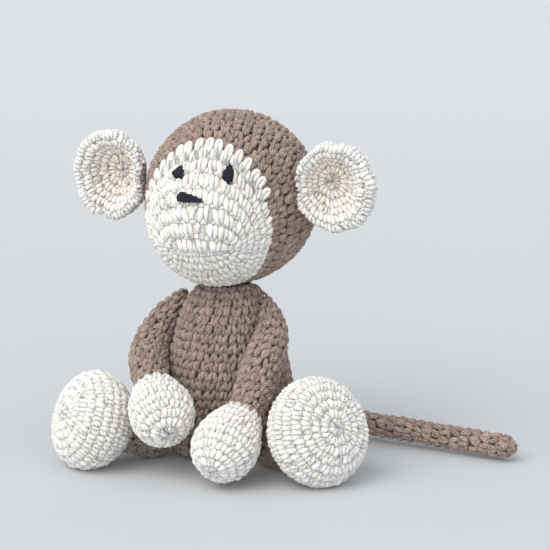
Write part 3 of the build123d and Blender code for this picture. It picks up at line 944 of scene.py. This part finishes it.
def whipped_seam(name, node, body, axis, radius, count, yarn=SEAM_YARN):
    """A round of slanting whip stitches where two pieces are sewn together."""
    centre = node_centre(node)
    axis = unit(axis)
    first = unit(np.cross(axis, (0.31, 0.77, 0.55)))
    second = np.cross(axis, first)
    work = Yarnwork()
    for index in range(count):
        share = np.linspace(0, 1, 7)
        turn = 2 * math.pi * (index + share * 1.1) / count
        out = first[None] * np.cos(turn)[:, None] + second[None] * np.sin(turn)[:, None]
        path = centre + out * (radius + yarn * np.sin(math.pi * share)[:, None] * 0.6)
        path = path + axis * ((share - 0.5) * yarn * 2.4)[:, None]
        sewn(work, path, yarn * 0.5, out[3])
    piece = work.mesh(name)
    finish_piece(piece, body, BROWN, [node])


whipped_seam("neck_sewing", "neck_seam", "neck", (0, 0, 1), 10, 16, NECK_YARN)
# The tail's seam rides on its CAD node's body, so it swings out of the torso with the tail.
whipped_seam("tail_sewing", "tail_seam", "tail_root", (0, 1, 0), 2.5, 5)
for side_name, side in (("left", 1), ("right", -1)):
    whipped_seam(f"shoulder_{side_name}_sewing", f"shoulder_seam_{side_name}", "torso", (side, 0, 0.4), 2.2, 5)
    whipped_seam(f"hip_{side_name}_sewing", f"hip_seam_{side_name}", f"hip_{side_name}",
                 (*FEET[side_name][0], 0), 4, 8)
    seam = node_centre(f"ear_seam_{side_name}")
    work = Yarnwork()
    for step in np.linspace(-6.5, 6.5, 6):
        middle = seam + HEAD_UP * step
        path = [middle + HEAD_FORWARD * k * 1.6 + HEAD_UP * k * 0.8 + HEAD_SIDE * side * (1 - abs(k)) * 0.6
                for k in (-1, -0.5, 0, 0.5, 1)]
        sewn(work, path, SEAM_YARN / 2, HEAD_SIDE * side)
    piece = work.mesh(f"ear_{side_name}_sewing")
    finish_piece(piece, "head", BROWN, [f"ear_seam_{side_name}"])


# ---------------------------------------------------------------- floor, lights and camera
FLOOR_HALF = 300        # metres
# Painted light: the floor's colour runs from darker near the toy to lighter far off, a painted falloff of the light.
PAPER_NEAR_PAINTED_SHADE = (0.513, 0.534, 0.555)
PAPER_FAR_PAINTED_LIGHT = (0.559, 0.58, 0.60)
HORIZON = (0.735, 0.765, 0.79)
ZENITH = (0.80, 0.82, 0.84)


def make_stage():
    floor_data = bpy.data.meshes.new("floor")
    corners = [(x * FLOOR_HALF, y * FLOOR_HALF, 0) for x, y in ((-1, -1), (1, -1), (1, 1), (-1, 1))]
    floor_data.from_pydata(corners, [], [(0, 1, 2, 3)])
    floor = bpy.data.objects.new("floor", floor_data)
    bpy.context.scene.collection.objects.link(floor)
    paper = bpy.data.materials.new("pale_paper")
    paper.use_nodes = True
    tree = paper.node_tree
    link = tree.links.new
    shader = tree.nodes["Principled BSDF"]
    shader.inputs["Roughness"].default_value = 0.9
    shader.inputs["Specular IOR Level"].default_value = 0.1
    place = tree.nodes.new("ShaderNodeTexCoord")
    distance = tree.nodes.new("ShaderNodeVectorMath")
    distance.operation = "LENGTH"
    # painted falloff of light: darker near the toy, lighter with distance
    away = node_of(tree, "ShaderNodeMapRange", From_Min=-0.3, From_Max=3.0)
    tones = ramp_node(tree, (0.0, PAPER_NEAR_PAINTED_SHADE), (1.0, PAPER_FAR_PAINTED_LIGHT))
    link(place.outputs["Object"], distance.inputs[0])
    link(distance.outputs["Value"], away.inputs["Value"])
    link(away.outputs["Result"], tones.inputs["Fac"])
    link(tones.outputs["Color"], shader.inputs["Base Color"])
    floor_data.materials.append(paper)


def make_light(name, place, spread, energy, colour):
    """A broad soft light that shines from a place towards the middle of the toy."""
    data = bpy.data.lights.new(name, "SUN")
    data.angle = math.radians(spread)
    data.energy = energy
    data.color = colour
    light = bpy.data.objects.new(name, data)
    light.location = place
    light.rotation_euler = (-Vector(place)).to_track_quat("-Z", "Y").to_euler()
    bpy.context.scene.collection.objects.link(light)


def make_world():
    world = bpy.data.worlds.new("studio")
    bpy.context.scene.world = world
    world.use_nodes = True
    tree = world.node_tree
    place = tree.nodes.new("ShaderNodeTexCoord")
    split = tree.nodes.new("ShaderNodeSeparateXYZ")
    tree.links.new(place.outputs["Generated"], split.inputs[0])
    sky = ramp_node(tree, (0.0, HORIZON), (0.9, ZENITH))
    tree.links.new(split.outputs["Z"], sky.inputs["Fac"])
    tree.links.new(sky.outputs["Color"], tree.nodes["Background"].inputs["Color"])
    tree.nodes["Background"].inputs["Strength"].default_value = 1.0


CAMERA_AZIMUTH = math.radians(14)
CAMERA_ELEVATION = math.radians(10)
CAMERA_DISTANCE = 0.8
CAMERA_TARGET = Vector((0.026, 0, 0.094))
CAMERA_LENS = 99.5
CAMERA_SENSOR = 36


def make_camera():
    data = bpy.data.cameras.new("camera")
    data.lens = CAMERA_LENS
    data.sensor_width = CAMERA_SENSOR
    camera = bpy.data.objects.new("camera", data)
    back = Vector((math.sin(CAMERA_AZIMUTH) * math.cos(CAMERA_ELEVATION),
                   -math.cos(CAMERA_AZIMUTH) * math.cos(CAMERA_ELEVATION), math.sin(CAMERA_ELEVATION)))
    camera.location = CAMERA_TARGET + back * CAMERA_DISTANCE
    camera.rotation_euler = (-back).to_track_quat("-Z", "Y").to_euler()
    bpy.context.scene.collection.objects.link(camera)
    bpy.context.scene.camera = camera


make_stage()
make_world()
make_light("key", (-0.55, -0.75, 1.1), 50, 1.65, (1.0, 0.975, 0.945))
make_light("fill", (-0.15, -1.0, 0.1), 60, 1.3, (1.0, 0.98, 0.955))
make_light("side", (0.55, -1.0, 0.08), 60, 0.85, (1.0, 0.98, 0.96))
make_camera()
bpy.context.scene.view_settings.view_transform = "Standard"
